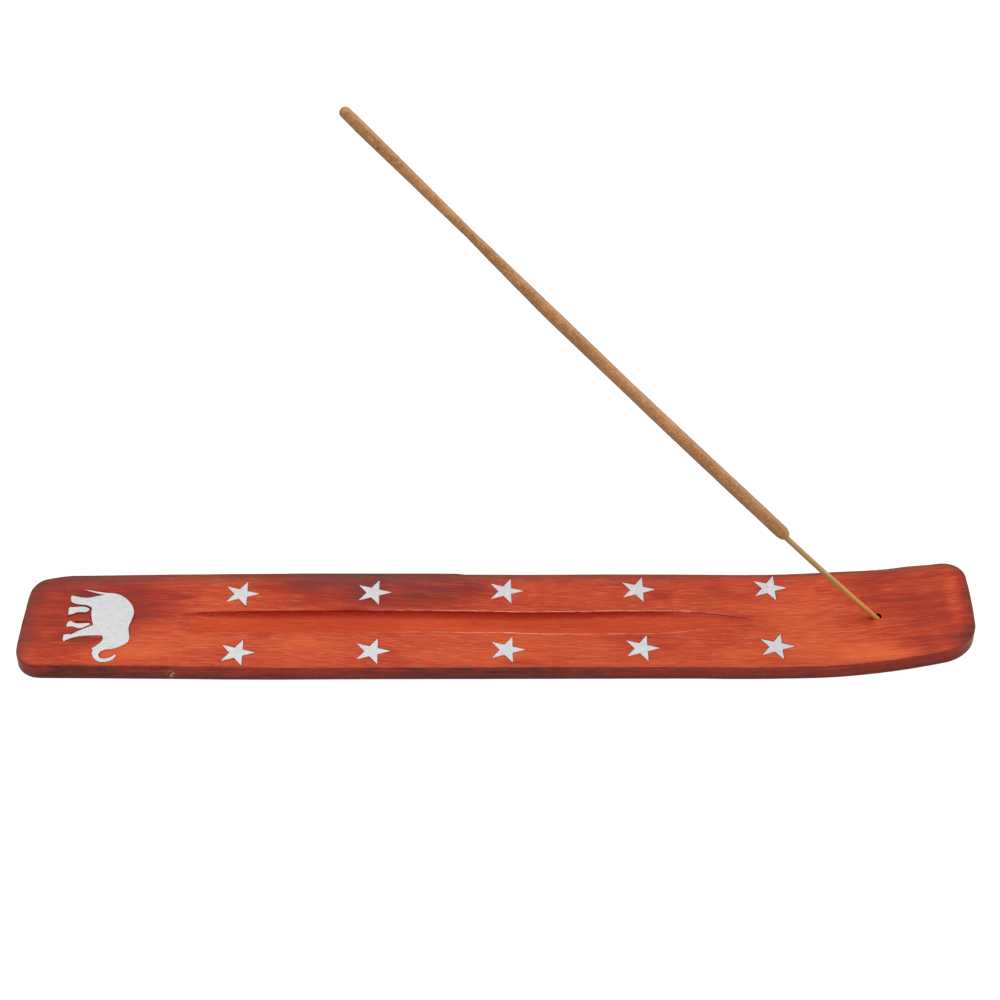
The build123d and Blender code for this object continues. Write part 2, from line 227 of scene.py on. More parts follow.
# Stain that took unevenly: place and half size on the board's top in mm, and how much lighter or darker it is
STAIN_PATCHES = [
    (0, -11, 136, 8, 0.12),
    (-120, 0, 13, 22, -0.20),
    (-112, 12, 16, 6, -0.14),
    (-108, 9.5, 5, 2, -0.11),
    (-124, -14, 3.5, 4, 0.12),
    (-124, 9, 3, 4, -0.18),
    (-124, -7, 3, 4, -0.18),
    (-109, -8, 8, 4, -0.20),
    (-112, -13, 16, 4, 0.12),
    (-112, -16.5, 8, 1.2, -0.13),
    (-98, 8, 16, 9, -0.32),
    (-99, -12, 12, 4, 0.22),
    (-84, 9, 5, 3, -0.14),
    (-86, -9, 14, 5, 0.10),
    (-88, -7, 12, 5, 0.12),
    (-90, -3.5, 7, 1.0, 0.20),
    (-88, -6.5, 9, 1.2, 0.20),
    (-78, -9.5, 9, 1.1, 0.14),
    (-76, 2, 10, 9, 0.14),
    (-52, -9, 10, 5, 0.12),
    (-52, -7, 5, 3, 0.08),
    (-56, -16.5, 8, 1.5, 0.09),
    (-28, -11, 8, 8, -0.09),
    (-55, 12, 10, 7, -0.20),
    (-60, 13, 12, 2, -0.11),
    (-40, 9, 17, 10, -0.28),
    (-30, 5, 10, 3, -0.14),
    (-36, 8, 6, 3, -0.10),
    (-28, 11, 4, 3, 0.12),
    (-16, 9.5, 8, 2, -0.14),
    (-20, 13.5, 4, 1.5, 0.06),
    (-4, 13.5, 4, 2, -0.14),
    (-14, 12, 18, 8, -0.26),
    (-12, -13, 12, 3, 0.18),
    (6, -16, 6, 2, -0.20),
    (-2, -16.5, 5, 1.5, 0.10),
    (20, -10, 14, 6, -0.05),
    (42, -9, 12, 5, -0.26),
    (44, 9.5, 5, 1.6, -0.22),
    (44, 13.5, 5, 1.6, 0.12),
    (48, 5.5, 7, 1.6, 0.10),
    (52, -10, 5, 2.5, 0.12),
    # Painted shade along the groove's far wall at its tip end, where the groove is too shallow to shade it
    (66, 1.0, 5, 1.0, -0.18),
    (52, 13, 6, 4, 0.12),
    (60, -7, 6, 3, -0.12),
    (56, -16, 7, 1.5, 0.10),
    (66, -14, 10, 4, 0.18),
    (68, 13, 6, 4, 0.14),
    (82, 3, 12, 11, 0.28),
    (88, -12, 10, 5, 0.14),
    (100, -14, 7, 4, 0.44),
    (108, -16, 6, 2, 0.40),
    (108, 8, 4, 4, 0.12),
    (108, -10, 5, 2.5, 0.09),
    (104, 13, 8, 3, -0.14),
    (112, -2, 14, 18, -0.28),
    (116, 6, 4, 4, 0.10),
    (116, -9, 4, 2, 0.08),
    (116, -13.5, 4, 2, -0.14),
    # A lighter band across the tip's end: part rubbed wood, part painted highlight where the top turns down
    (122.6, 2, 1.8, 11, 0.20),
    (124, -11, 5, 8, -0.30),
    (124, -16, 3, 2.5, -0.10),
]

# The patches fade out at this many half sizes from their middle, along a ragged outline
PATCH_FADE = 1.5
PATCH_RAGGED = 0.35
PATCH_RAGGED_SIZE = (12 * MM, 3 * MM, 3 * MM)

# The stain's colours from where it gathered to where it is thin, and the other colours of the wood
STAIN_TONES = [
    (0.0, (0.085, 0.0110, 0.0080, 1)),
    (0.2, (0.170, 0.0190, 0.0120, 1)),
    (0.4, (0.325, 0.0220, 0.0070, 1)),
    (0.6, (0.445, 0.0420, 0.0105, 1)),
    (0.8, (0.525, 0.0650, 0.0140, 1)),
    (1.0, (0.600, 0.0950, 0.0220, 1)),
]
PALE_FIBRE = (0.80, 0.32, 0.17, 1)
DARK_FIBRE = (0.20, 0.014, 0.010, 1)
PORE = (0.12, 0.018, 0.012, 1)
GROOVE_FLOOR = (0.52, 0.055, 0.007, 1)
GROOVE_WALL = (0.52, 0.036, 0.016, 1)
# Painted shade for the groove's walls where the groove is shallow
GROOVE_WALL_PAINTED_SHADE = (0.30, 0.018, 0.010, 1)
RIM_GREY = (0.050, 0.038, 0.035, 1)
WALL_TOP = (0.30, 0.020, 0.004, 1)
WALL_FOOT = (0.13, 0.013, 0.006, 1)
WALL_DARK = (0.06, 0.010, 0.006, 1)
WALL_SCUFF = (0.36, 0.100, 0.065, 1)
PALE_SCUFF = (0.62, 0.36, 0.26, 1)
# Pale lip colour: part rubbed-through wood, part painted highlight
RUBBED_WOOD_AND_HIGHLIGHT = (0.85, 0.42, 0.27, 1)
SEAT_EDGE = (0.07, 0.020, 0.016, 1)
# Painted shade deep in the stick's hole
HOLE_PAINTED_SHADE = (0.085, 0.010, 0.004, 1)

# Depths below the top, and widths beside the lips and seats, over which the wood's finish changes
GROOVE_TINT_DEPTHS = (0.25 * MM, 1.4 * MM)
WALL_TINT_DEPTHS = (0.4 * MM, 4.8 * MM)
PALE_LIP_WIDTH = 0.38 * MM
PALE_LIP_DEPTHS = (0.1 * MM, 0.35 * MM)
SEAT_LINE_WIDTHS = (0.05 * MM, 0.6 * MM)
HOLE_SHADE_DEPTHS = (0.05 * MM, 0.4 * MM)

# Colours of the metal, the bamboo and the paste
METAL_TONES = [(0.36, (0.48, 0.47, 0.48, 1)), (0.64, (0.61, 0.60, 0.62, 1))]
METAL_BRIGHT = (0.62, 0.62, 0.64, 1)
BAMBOO_TONES = [
    (0.30, (0.30, 0.155, 0.045, 1)),
    (0.50, (0.50, 0.305, 0.100, 1)),
    (0.72, (0.67, 0.465, 0.190, 1)),
]
BAMBOO_DASH = (0.22, 0.11, 0.035, 1)
# Painted shade for the bamboo's lower side
BAMBOO_SHADE = (0.20, 0.13, 0.05, 1)
STAINED_BAMBOO = (0.82, 0.28, 0.050, 1)
PASTE_TONES = [
    (0.34, (0.18, 0.065, 0.023, 1)),
    (0.46, (0.39, 0.160, 0.053, 1)),
    (0.56, (0.56, 0.255, 0.095, 1)),
    (0.68, (0.72, 0.420, 0.200, 1)),
]
# Painted shade for the paste's lower side, and painted light for its upper side
PASTE_SHADE = (0.17, 0.13, 0.09, 1)
PASTE_PAINTED_LIGHT = (0.52, 0.42, 0.32, 1)

# Noises of the finishes: lumps per metre along each axis, then detail, roughness and distortion
WOOD_NOISE = {
    "clouds": ((16, 80, 60), 3.0, 0.55, 0.3),
    "streaks": ((30, 620, 500), 4.0, 0.6, 0.1),
    "blotches": ((55, 210, 200), 3.0, 0.5, 0.6),
    "strokes": ((80, 1900, 1600), 3.0, 0.6, 0.0),
    "fibres": ((230, 3400, 2900), 3.0, 0.6, 0.0),
    "pores": ((190, 3600, 3000), 2.0, 0.5, 0.0),
    "chatter": ((900, 900, 900), 3.0, 0.65, 0.0),
    "crumbs": ((1300, 1900, 1900), 3.0, 0.7, 0.0),
    "ragged": ((90, 700, 500), 3.0, 0.6, 0.0),
    "sawn": ((130, 140, 900), 5.0, 0.68, 0.0),
    "scuffs": ((150, 160, 1500), 4.0, 0.6, 0.0),
    "chips": ((1500, 1500, 1100), 3.0, 0.6, 0.0),
    "teeth": ((1500, 900, 250), 2.0, 0.6, 0.0),
    "rubbed": ((260, 1400, 900), 4.0, 0.7, 0.0),
}
METAL_NOISE = {
    "brushing": ((160, 5200, 5200), 3.0, 0.65, 0.0),
    "speckle": ((1900, 2300, 2300), 3.0, 0.7, 0.0),
    "mottle": ((500, 700, 700), 3.0, 0.6, 0.0),
}
BAMBOO_NOISE = {
    "fibres": ((90, 4200, 4200), 3.0, 0.6, 0.0),
    "bands": ((45, 900, 900), 3.0, 0.5, 0.0),
    "dashes": ((320, 6000, 6000), 2.0, 0.5, 0.0),
}
PASTE_NOISE = {
    "powder": ((2600, 2600, 2600), 3.0, 0.7, 0.0),
    "lumps": ((520, 700, 700), 3.0, 0.6, 0.0),
    "bands": ((60, 120, 120), 2.0, 0.5, 0.0),
}

# Most of a noise lies between these values
NOISE_LOW = 0.3
NOISE_HIGH = 0.7

# The finishes' fine relief: its strength and its height
WOOD_RELIEF = (0.35, 0.08 * MM)
METAL_RELIEF = (0.25, 0.02 * MM)
BAMBOO_RELIEF = (0.4, 0.05 * MM)
PASTE_RELIEF = (0.6, 0.12 * MM)

# The inlays' broken edges
INLAY_EDGE = 0.05 * MM
INLAY_EDGE_STEPS = 2
INLAY_EDGE_ANGLE = math.radians(40)

# The stick's own axis, from its foot to its tip, and the directions across it
STICK_AXIS = Vector(frame["joints"][0]["axis"]).normalized()
STICK_SIDE = Vector((0, 1, 0))
STICK_FRONT = STICK_SIDE.cross(STICK_AXIS)

# The rod's rings, close together up to a little way into the paste and far apart where it is hidden
ROD_SIDES = 48
ROD_STEP = 0.4 * MM
ROD_INSET = 0.02 * MM
ROD_OVERLAP = 3 * MM
ROD_HIDDEN_START = 4 * MM
ROD_HIDDEN_RINGS = 24

# The rod is split and shaved: the shares of its radius that flats, fibres and waves take, and their sizes
ROD_FLATS = 0.045
ROD_FLAT_PACE = 3.5
ROD_FLAT_TURN = 0.4
ROD_FIBRE = 0.022
ROD_FIBRE_SIZE = (0.16, 0.16, 1.0)
ROD_WAVE = 0.03
ROD_WAVE_SIZE = (0.9, 0.9, 0.8)
ROD_GRAIN_LENGTH = 14 * MM

# The rod took some stain from the hole: fully up to a height above its foot, then fading out
FOOT_STAIN_START = 14 * MM
FOOT_STAIN_REACH = 14 * MM

# The paste's rings, and its rounded ends
COAT_SIDES = 72
COAT_STEP = 0.22 * MM
COAT_END_INSET = 0.1 * MM
COAT_END_RINGS = 16
COAT_SHOULDER = 2.6 * MM
COAT_DOME = 1.4 * MM

# The paste's bore, the largest share of the paste's radius that it takes, and the least left above the rod
BORE_RINGS = 40
BORE_INSET = 0.01 * MM
BORE_ROOM = 0.98
TIP_ROOM = 0.3

# The paste is uneven by lumps, crumbs and powder: their depths, sizes and seeds
COAT_NOISE = [
    (0.05 * MM, 4 * MM, 0.0),
    (0.06 * MM, 0.55 * MM, 2.0),
    (0.04 * MM, 0.26 * MM, 9.0),
]

# The paste is lumpy about its mean thickness, except at its tip
PASTE_PROUD = 0.075 * MM
PROUD_START = 8 * MM

# The paste lies out of true on the rod: places from its lower end and shifts, both in mm
COAT_LEAN = [
    (0, 0.27), (10, 0.29), (35, 0.16), (66, 0.03), (100, -0.03), (112, 0.05), (127, 0.15), (145, 0.10),
    (158, 0.0), (173, -0.08),
]

# The studio: a floor that is bright of itself, a broad light above and behind, and an even surround
WHITE = (1, 1, 1, 1)
FLOOR_HALF = 20.0
FLOOR_COLOUR = (0.15, 0.15, 0.15, 1)
FLOOR_GLOW = 0.98
KEY_PLACE = (0.05, 0.22, 1.3)
KEY_SIZE = (1.8, 1.2)
KEY_ENERGY = 18.0
SURROUND_STRENGTH = 0.5

# The photograph's view, found from the board's edges and the star grid
CAMERA_PLACE = (0.001346, -0.468569, 0.484395)
CAMERA_TILT = math.radians(47.106)
CAMERA_LENS = 89.59
CAMERA_SENSOR = 36.0
CAMERA_CLIP_START = 0.01


def noisy(points, size, seed=0.0):
    """Smooth noise from about -1 to 1 at each point, with lumps of a given size."""
    scaled = np.asarray(points) / np.asarray(size) + seed
    return np.array([noise.noise(Vector(point)) for point in scaled])


def noisy_share(points, size, seed=0.0):
    """Smooth noise from about 0 to 1 at each point, with lumps of a given size."""
    return 0.5 + 0.5 * noisy(points, size, seed)


def fade(distance, reach):
    """1 at no distance, falling smoothly to 0 at the reach."""
    share = np.clip(1 - np.asarray(distance) / reach, 0, 1)
    return share * share * (3 - 2 * share)


def drawn(line, x):
    """The amount of a hand-drawn line at each X."""
    places, amounts = np.array(line).T
    return np.interp(x / MM, places, amounts)


def plan_tree(targets):
    """A search tree of the targets in plan."""
    tree = kdtree.KDTree(len(targets))
    for index, target in enumerate(targets):
        tree.insert((target[0], target[1], 0), index)
    tree.balance()
    return tree


def nearest(targets, points):
    """Distance in plan from each point to the nearest of the targets, and which target it is."""
    tree = plan_tree(targets)
    found = [tree.find((point[0], point[1], 0)) for point in points]
    distances = np.array([distance for place, index, distance in found])
    return distances, [index for place, index, distance in found]


def averaged(places, directions, reach):
    """Directions in plan, each averaged with those of its neighbours within the reach."""
    tree = plan_tree(places)
    means = []
    for place in places:
        near = [index for found, index, distance in tree.find_range((place[0], place[1], 0), reach)]
        means.append(directions[near].mean(axis=0))
    return np.array(means) / np.linalg.norm(means, axis=1, keepdims=True)


def by_side(toward, far, near, square, tip):
    """Blends a value for each side of the board by the way to the nearest wall."""
    x, y = toward.T
    shares = (np.maximum(y, 0), np.maximum(-y, 0), np.maximum(-x, 0), np.maximum(x, 0))
    return sum(share**2 * value for share, value in zip(shares, (far, near, square, tip)))


def top_height(x):
    """Height of the board's unworn top at each X."""
    past = np.maximum(x - BEND_START, 0)
    radius = BEND_RADIUS - BOARD_THICKNESS
    return BEND_RADIUS - np.sqrt(radius**2 - past**2)


def along_board(x):
    """Length along the bent board at each X."""
    past = np.maximum(x - BEND_START, 0)
    return np.minimum(x, BEND_START) + BEND_RADIUS * np.arcsin(past / BEND_RADIUS)


def sliced(name, steps):
    """A CAD node's mesh cut along regular planes, so that its faces are small enough to shape."""
    cut = bmesh.new()
    cut.from_mesh(frame["nodes"][name].data)
    bmesh.ops.remove_doubles(cut, verts=cut.verts, dist=WELD)
    bmesh.ops.dissolve_limit(cut, angle_limit=COPLANAR_ANGLE, verts=cut.verts, edges=cut.edges)
    low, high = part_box(name)
    for axis, step in enumerate(steps):
        normal = Vector([float(axis == other) for other in range(3)])
        for place in np.arange(low[axis] + step, high[axis], step):
            everything = cut.verts[:] + cut.edges[:] + cut.faces[:]
            bmesh.ops.bisect_plane(
                cut, geom=everything, dist=WELD, plane_co=normal * place, plane_no=normal
            )
    cut.normal_update()
    cut.verts.index_update()
    return cut


def store(mesh, name, values):
    """Keeps a number or a vector for each vertex, for the materials to read."""
    values = np.asarray(values, float)
    kind = "FLOAT_VECTOR" if values.ndim == 2 else "FLOAT"
    field = "vector" if values.ndim == 2 else "value"
    mesh.attributes.new(name, kind, "POINT").data.foreach_set(field, values.ravel())


def smooth(mesh):
    """Smooth shading, except across sharp edges."""
    mesh.polygons.foreach_set("use_smooth", [True] * len(mesh.polygons))
    mesh.set_sharp_from_angle(angle=SHARP_ANGLE)


def add_piece(name, mesh, body, slot, *nodes):
    """Puts a mesh into the scene as a piece that rides on a body and stands for CAD nodes."""
    piece = bpy.data.objects.new(name, mesh)
    bpy.context.scene.collection.objects.link(piece)
    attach(piece, body)
    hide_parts(*nodes)


def node(tree, kind, inputs=None, **settings):
    """A shader node with its settings, whose inputs are linked to sockets or set to values."""
    made = tree.nodes.new("ShaderNode" + kind)
    for name, value in settings.items():
        setattr(made, name, value)
    for name, value in (inputs or {}).items():
        if isinstance(value, bpy.types.NodeSocket):
            tree.links.new(value, made.inputs[name])
        else:
            made.inputs[name].default_value = value
    return made


def new_material(name):
    """A material with its tree and its main shader."""
    material = bpy.data.materials.new(name)
    material.use_nodes = True
    tree = material.node_tree
    return material, tree, tree.nodes["Principled BSDF"]


def attribute(tree, name, output="Fac"):
    """A value stored with the mesh."""
    return node(tree, "Attribute", attribute_name=name).outputs[output]


def maths(tree, operation, first, second=0.0, clamp=False):
    """Two values put together."""
    return node(tree, "Math", {0: first, 1: second}, operation=operation, use_clamp=clamp).outputs[0]


def ranged(tree, value, low, high, to_low=0.0, to_high=1.0):
    """A value mapped smoothly from one range to another."""
    inputs = {"Value": value, "From Min": low, "From Max": high, "To Min": to_low, "To Max": to_high}
    return node(tree, "MapRange", inputs, interpolation_type="SMOOTHSTEP").outputs["Result"]


def spread(tree, field, low, high):
    """A noise mapped from where most of it lies to a range."""
    return ranged(tree, field, NOISE_LOW, NOISE_HIGH, low, high)


def texture(tree, coordinates, scale, detail, roughness, distortion):
    """Noise stretched by a scale for each axis, in lumps per metre."""
    stretched = node(tree, "Mapping", {"Vector": coordinates, "Scale": scale}).outputs["Vector"]
    inputs = {
        "Vector": stretched, "Scale": 1.0, "Detail": detail, "Roughness": roughness, "Distortion": distortion
    }
    return node(tree, "TexNoise", inputs).outputs["Fac"]


def textures(tree, coordinates, recipes):
    """The noises of a finish, by name."""
    return SimpleNamespace(**{name: texture(tree, coordinates, *recipe) for name, recipe in recipes.items()})


def weighted(tree, *parts):
    """Noises added by their weights."""
    total, *others = [maths(tree, "MULTIPLY", field, weight) for field, weight in parts]
    for other in others:
        total = maths(tree, "ADD", total, other)
    return total


def mixed(tree, factor, first, second):
    """Two colours mixed by a factor."""
    made = tree.nodes.new("ShaderNodeMix")
    made.data_type = "RGBA"
    for socket, value in ((made.inputs[0], factor), (made.inputs[6], first), (made.inputs[7], second)):
        if isinstance(value, bpy.types.NodeSocket):
            tree.links.new(value, socket)
        else:
            socket.default_value = value
    return made.outputs[2]


def ramp(tree, factor, stops):
    """A colour ramp through stops of place and colour."""
    made = node(tree, "ValToRGB", {"Fac": factor})
    elements = made.color_ramp.elements
    while len(elements) < len(stops):
        elements.new(1.0)
    for element, (place, colour) in zip(elements, stops):
        element.position = place
        element.color = colour
    return made.outputs["Color"]


def add_relief(tree, shader, field, strength, height):
    """Relief that is too fine for the mesh."""
    bump = node(tree, "Bump", {"Strength": strength, "Distance": height, "Height": field})
    tree.links.new(bump.outputs["Normal"], shader.inputs["Normal"])


def stained_wood():
    """Red-orange stain over straight-grained wood, darker at the rims, with pale lips that are part wear and
    part painted highlight, and painted shade in the shallow groove and in the stick's hole.
    """
    material, tree, shader = new_material("stained_wood_finish")
    depth = attribute(tree, "depth")
    made = textures(tree, attribute(tree, "grain", "Vector"), WOOD_NOISE)

    # The stain's depth: big soft clouds and the patches where it took unevenly
    uneven = maths(tree, "MULTIPLY", attribute(tree, "stain"), spread(tree, made.streaks, 1.2, 0.8))
    uneven = maths(tree, "ADD", uneven, spread(tree, made.blotches, -0.06, 0.06))
    tone = maths(tree, "ADD", ranged(tree, made.clouds, 0.25, 0.75, 0.47, 0.73), uneven)
    colour = ramp(tree, tone, STAIN_TONES)

    # Streaks and fine fibres along the grain, pale where the stain is thin and dark where it gathered
    thin = ranged(tree, tone, 0.25, 0.65, 0.3, 1.0)
    drawn_lines = ((made.streaks, 0.09, 0.24), (made.strokes, 0.15, 0.26), (made.fibres, 0.28, 0.42))
    for lines, pale, dark in drawn_lines:
        shown = maths(tree, "MULTIPLY", thin, ranged(tree, lines, 0.50, 0.74, 0.0, pale))
        colour = mixed(tree, shown, colour, PALE_FIBRE)
        colour = mixed(tree, ranged(tree, lines, 0.27, 0.50, dark, 0.0), colour, DARK_FIBRE)
    pore = ranged(tree, made.pores, 0.64, 0.74)
    colour = mixed(tree, maths(tree, "MULTIPLY", pore, 0.22), colour, PORE)

    # Routed wood in the groove took the stain warmer on the floor and deeper on the walls, with chatter
    # marks; where the groove is shallow the walls also take painted shade, as a shadow band
    colour = mixed(tree, ranged(tree, depth, *GROOVE_TINT_DEPTHS, 0.0, 0.5), colour, GROOVE_FLOOR)
    gully = maths(tree, "MULTIPLY", attribute(tree, "gully"), spread(tree, made.chatter, 0.4, 2.4))
    patchy = ranged(tree, made.chatter, 0.36, 0.66, 0.85, 0.4)
    walled = maths(tree, "MULTIPLY", ranged(tree, gully, 0.05, 0.16), patchy)
    crumbled = ranged(tree, made.crumbs, 0.38, 0.58, 0.45, 0.0)
    groove_painted_shade = maths(tree, "ADD", attribute(tree, "groove_painted_shade"), crumbled, clamp=True)
    colour = mixed(tree, walled, colour, mixed(tree, groove_painted_shade, GROOVE_WALL, GROOVE_WALL_PAINTED_SHADE))

    # Grey-brown rims along the cut edges, widest and strongest along the far side and the square end
    rim = maths(tree, "MULTIPLY", attribute(tree, "rim"), spread(tree, made.ragged, 0.82, 1.15))
    colour = mixed(tree, rim, colour, RIM_GREY)

    # Sawn outer walls, streaked and darker towards the foot, with a pale scuff and a ragged upper boundary
    wall_colour = mixed(tree, ranged(tree, depth, *WALL_TINT_DEPTHS), WALL_TOP, WALL_FOOT)
    wall_colour = mixed(tree, ranged(tree, made.scuffs, 0.52, 0.72, 0.0, 0.4), wall_colour, WALL_SCUFF)
    soiled = maths(tree, "ADD", attribute(tree, "soil"), spread(tree, made.sawn, -0.29, 0.52), clamp=True)
    wall_colour = mixed(tree, soiled, wall_colour, WALL_DARK)
    chipped = maths(tree, "MULTIPLY", attribute(tree, "scuff"), ranged(tree, made.chips, 0.5, 0.6, 0.0, 0.9))
    wall_colour = mixed(tree, chipped, wall_colour, PALE_SCUFF)
    wall = maths(tree, "ADD", attribute(tree, "wall"), spread(tree, made.teeth, -0.25, 0.25))
    colour = mixed(tree, ranged(tree, wall, 0.3, 0.75, 0.0, 0.95), colour, wall_colour)

    # Pale lines on the groove's lips: part wood rubbed through, part painted highlight
    worn = maths(tree, "MULTIPLY", attribute(tree, "wear"), ranged(tree, made.rubbed, 0.36, 0.60, 0.15, 0.95))
    worn = maths(tree, "MULTIPLY", worn, ranged(tree, attribute(tree, "lip"), 0.0, PALE_LIP_WIDTH, 1.0, 0.0))
    worn = maths(tree, "MULTIPLY", worn, ranged(tree, depth, *PALE_LIP_DEPTHS, 1.0, 0.0))
    colour = mixed(tree, worn, colour, RUBBED_WOOD_AND_HIGHLIGHT)

    # Dark lines round the inlays' seats, and painted shade deep in the stick's hole
    edged = ranged(tree, attribute(tree, "seat"), *SEAT_LINE_WIDTHS, 0.1, 0.0)
    colour = mixed(tree, edged, colour, SEAT_EDGE)
    hole_shade = maths(tree, "MULTIPLY", attribute(tree, "hole"), ranged(tree, depth, *HOLE_SHADE_DEPTHS))
    colour = mixed(tree, hole_shade, colour, HOLE_PAINTED_SHADE)

    tree.links.new(colour, shader.inputs["Base Color"])
    tree.links.new(spread(tree, made.fibres, 0.40, 0.56), shader.inputs["Roughness"])
    shader.inputs["Specular IOR Level"].default_value = 0.14
    relief = maths(tree, "SUBTRACT", made.fibres, maths(tree, "MULTIPLY", pore, 0.7))
    torn = maths(tree, "MULTIPLY", maths(tree, "MULTIPLY", made.crumbs, walled), 3.0)
    add_relief(tree, shader, maths(tree, "ADD", relief, torn), *WOOD_RELIEF)
    return material


def inlay_metal():
    """Pale sheet metal, dulled and speckled, faintly brushed along the board."""
    material, tree, shader = new_material("inlay_metal_finish")
    made = textures(tree, node(tree, "TexCoord").outputs["Object"], METAL_NOISE)
    colour = ramp(tree, weighted(tree, (made.brushing, 0.35), (made.speckle, 0.65)), METAL_TONES)
    colour = mixed(tree, ranged(tree, made.mottle, 0.4, 0.7, 0.0, 0.3), colour, METAL_BRIGHT)
    tree.links.new(colour, shader.inputs["Base Color"])
    tree.links.new(spread(tree, made.speckle, 0.36, 0.54), shader.inputs["Roughness"])
    shader.inputs["Metallic"].default_value = 0.75
    add_relief(tree, shader, made.brushing, *METAL_RELIEF)
    return material


def bare_bamboo():
    """Split bamboo with fine fibres along it, stained at its foot, with painted shade on its lower side."""
    material, tree, shader = new_material("bamboo_finish")
    made = textures(tree, attribute(tree, "grain", "Vector"), BAMBOO_NOISE)
    stained = attribute(tree, "foot")
    colour = ramp(tree, weighted(tree, (made.fibres, 0.6), (made.bands, 0.4)), BAMBOO_TONES)
    colour = mixed(tree, ranged(tree, stained, 0.0, 1.0, 0.0, 0.62), colour, STAINED_BAMBOO)
    colour = mixed(tree, ranged(tree, made.dashes, 0.62, 0.72, 0.0, 0.4), colour, BAMBOO_DASH)
    # Painted shade on the lower side, weaker at the foot
    shade = ranged(tree, attribute(tree, "facing"), 0.1, 0.6, 0.58, 0.0)
    shade = maths(tree, "MULTIPLY", shade, ranged(tree, stained, 0.0, 1.0, 1.0, 0.6))
    colour = mixed(tree, shade, colour, BAMBOO_SHADE)
    tree.links.new(colour, shader.inputs["Base Color"])
    tree.links.new(spread(tree, made.fibres, 0.42, 0.62), shader.inputs["Roughness"])
    shader.inputs["Specular IOR Level"].default_value = 0.35
    add_relief(tree, shader, made.fibres, *BAMBOO_RELIEF)
    return material


def incense_paste():
    """Dry rolled incense: brown powder with dark and pale grains, with painted light above and painted shade
    below.
    """
    material, tree, shader = new_material("incense_finish")
    made = textures(tree, attribute(tree, "grain", "Vector"), PASTE_NOISE)
    facing = attribute(tree, "facing")
    tone = weighted(tree, (made.powder, 0.58), (made.lumps, 0.24), (made.bands, 0.18))
    colour = ramp(tree, tone, PASTE_TONES)
    # Painted shade on the lower side and painted light on the upper side
    colour = mixed(tree, ranged(tree, facing, -0.3, 0.45, 0.5, 0.0), colour, PASTE_SHADE)
    colour = mixed(tree, ranged(tree, facing, 0.6, 0.97, 0.0, 0.3), colour, PASTE_PAINTED_LIGHT)
    tree.links.new(colour, shader.inputs["Base Color"])
    shader.inputs["Roughness"].default_value = 0.92
    shader.inputs["Specular IOR Level"].default_value = 0.15
    add_relief(tree, shader, made.powder, *PASTE_RELIEF)
    return material


def outer_walls(places, normals, depth):
    """Which vertices are on the board's outer walls, told by low places on upright faces."""
    x, y = places[:, :2].T
    upright = np.abs(normals[:, 2]) < WALL_UPRIGHT
    low = depth > WALL_DEPTH
    inner = (x > cad_low.x + WALL_END_LENGTH) & (x < cad_high.x - WALL_END_LENGTH) & (np.abs(y) < LIP_REACH)
    return np.flatnonzero(upright & low & ~inner)


def groove_lips(cut, depth):
    """The groove's lips: vertices of its folded edges that lie in the board's top."""
    lips = set()
    for edge in cut.edges:
        ends = [vertex.index for vertex in edge.verts]
        level = all(depth[end] < TOP_TOLERANCE for end in ends)
        places = [vertex.co for vertex in edge.verts]
        inside = all(abs(place.y) < LIP_REACH and place.x < BEND_START + LIP_REACH for place in places)
        if level and inside and edge.calc_face_angle(0.0) > LIP_ANGLE:
            lips.update(ends)
    return sorted(lips)


def survey(cut):
    """What the shaping and the stain need to know at each vertex of the cut board."""
    places = np.array([vertex.co[:] for vertex in cut.verts])
    normals = np.array([vertex.normal[:] for vertex in cut.verts])
    x, y, z = places.T
    top = top_height(x)
    depth = np.maximum(top - z, 0)
    walls = outer_walls(places, normals, depth)
    rim, nearest_wall = nearest(places[walls], places)
    toward = averaged(places[walls], normals[walls, :2], TOWARD_REACH)[nearest_wall]
    lip = nearest(places[groove_lips(cut, depth)], places)[0]
    clear = (np.abs(y) > LIP_REACH) | (x < cad_low.x + SQUARE_END_LENGTH)
    seated = (depth > SEAT_DEPTHS[0]) & (depth < SEAT_DEPTHS[1]) & clear & (rim > SEAT_CLEARANCE)
    seat = nearest(places[seated], places)[0]
    groove = (lip < LIP_REACH) & (depth > TOP_TOLERANCE) & (depth < GROOVE_DEPTH)
    groove = groove & (np.abs(y) < LIP_REACH) & (x < BEND_START + LIP_REACH)
    drift = GRAIN_DRIFT * np.tanh((x - DRIFT_MIDDLE) / DRIFT_LENGTH)
    grain = np.c_[along_board(x), y + drift, z - top]
    return SimpleNamespace(
        places=places, normals=normals, depth=depth, rim=rim, toward=toward,
        lip=lip, seat=seat, groove=groove, grain=grain,
    )


def hole_closing(x, y, depth):
    """How far each vertex moves along and across the board to close the hole's mouth on the stick."""
    beyond, aside = x - HOLE_PLACE[0], HOLE_PLACE[1] - y
    mouth = depth < HOLE_SPREAD
    nearer = np.clip(aside / HOLE_RADIUS, 0, 1) * fade(HOLE_PLACE[1] - HOLE_RADIUS - y, HOLE_SPREAD)
    nearer = nearer * fade(np.abs(beyond) - HOLE_SPREAD, HOLE_SPREAD) * mouth
    ahead = np.clip(beyond / HOLE_HALF_LENGTH, 0, 1) * fade(beyond - HOLE_HALF_LENGTH, HOLE_SPREAD)
    ahead = ahead * fade(np.abs(aside) - HOLE_RADIUS, HOLE_SPREAD) * mouth
    return -HOLE_END_CLOSING * ahead, HOLE_CLOSING * nearer


